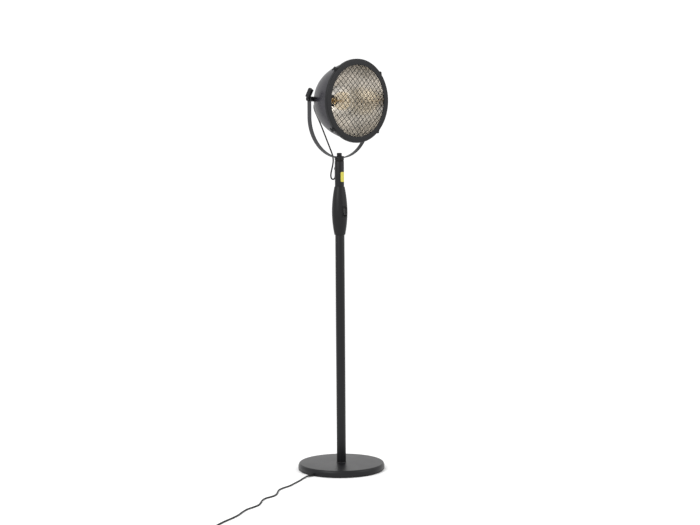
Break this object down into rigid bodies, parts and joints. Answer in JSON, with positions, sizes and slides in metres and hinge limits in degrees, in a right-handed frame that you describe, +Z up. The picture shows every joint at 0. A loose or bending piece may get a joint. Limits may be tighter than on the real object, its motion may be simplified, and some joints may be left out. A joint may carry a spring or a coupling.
{
  "type": "floor lamp",
  "caption": "Floor lamp with a dome spotlight head behind a wire grille, tilting in a flat-strip yoke on a straight round pole with a weighted disc base and a mains cord.",
  "frame": {"origin": "centre of the base's underside, on the floor", "axes": "+Z up the pole; -Y the way the head shines; -X the side of the clamp lever and of the mains cord"},
  "size_m": [1.0068, 0.6149, 1.4095],
  "materials": {
    "powder_black": "fine matt black powder coat",
    "powder_yoke": "satin charcoal powder coat",
    "black_plastic": "moulded black plastic, fine spark texture",
    "gloss_plastic": "polished black plastic",
    "cord_rubber": "round black PVC flex",
    "grey_iron": "as-cast",
    "bright_steel": "zinc plated",
    "fibre": "vulcanised fibre",
    "foam": "closed-cell foam sheet",
    "yellow_vinyl": "blank printed vinyl",
    "satin_aluminium": "spun and satin polished",
    "brass": "bright",
    "amber_glass": "clear amber tint"
  },
  "bodies": {
    "stand": {"base_cover": "powder_black", "base_weight": "grey_iron", "base_pad": "foam", "base_nipple": "bright_steel", "base_nut": "bright_steel", "base_washer": "bright_steel", "base_cord_boot": "cord_rubber", "pole_lower": "powder_black", "pole_foot_plug": "bright_steel", "pole_core_tube": "bright_steel", "pole_upper": "powder_black", "pole_cord_entry": "cord_rubber", "blank_sticker": "yellow_vinyl", "grip_front_shell": "black_plastic", "grip_rear_shell": "black_plastic", "grip_screw_1": "bright_steel", "grip_screw_2": "bright_steel", "switch_frame": "gloss_plastic", "switch_body": "black_plastic", "pole_top_cap": "black_plastic", "swivel_washer": "fibre", "upper_cord_pole": "cord_rubber", "mains_cord": "cord_rubber", "cord_coil": "cord_rubber", "plug_body": "black_plastic", "plug_pin_1": "bright_steel", "plug_pin_2": "bright_steel"},
    "yoke": {"yoke": "powder_yoke", "yoke_saddle": "black_plastic", "swivel_bolt": "powder_black", "swivel_nut": "bright_steel", "upper_cord_head": "cord_rubber"},
    "head": {"shade_shell": "powder_black", "reflector": "satin_aluminium", "rear_nipple": "bright_steel", "rear_nut": "powder_black", "lampholder": "black_plastic", "bulb_cap": "brass", "bulb_glass": "amber_glass", "bulb_filament": "brass", "rear_cord_boot": "cord_rubber", "pivot_boss_left": "powder_black", "pivot_boss_right": "powder_black", "pivot_washer_left": "fibre", "pivot_washer_right": "fibre", "pivot_stud_left": "bright_steel", "pivot_bolt_right": "powder_black", "front_ring": "powder_black", "wire_grille": "powder_black", "ring_clip_1": "powder_black", "ring_clip_2": "powder_black", "ring_clip_3": "powder_black", "ring_clip_4": "powder_black", "clip_screw_1": "powder_black", "clip_screw_2": "powder_black", "clip_screw_3": "powder_black", "clip_screw_4": "powder_black"},
    "clamp_lever": {"clamp_lever": "black_plastic"},
    "rocker": {"rocker": "gloss_plastic"}
  },
  "joints": [
    {"name": "yoke_swivel", "type": "hinge", "parent": "stand", "child": "yoke", "pos_m": [0, 0, 1.07], "axis": [0, 0, 1], "range_deg": [-90, 90], "deforming": ["upper_cord_pole"]},
    {"name": "head_tilt", "type": "hinge", "parent": "yoke", "child": "head", "pos_m": [0, 0, 1.275], "axis": [1, 0, 0], "range_deg": [-85, 36], "deforming": ["upper_cord_head"]},
    {"name": "clamp_turn", "type": "hinge", "parent": "yoke", "child": "clamp_lever", "pos_m": [-0.141, 0, 1.275], "axis": [1, 0, 0], "continuous": true},
    {"name": "rocker_press", "type": "hinge", "parent": "stand", "child": "rocker", "pos_m": [0, -0.0255, 0.894], "axis": [1, 0, 0], "range_deg": [0, 20]}
  ]
}
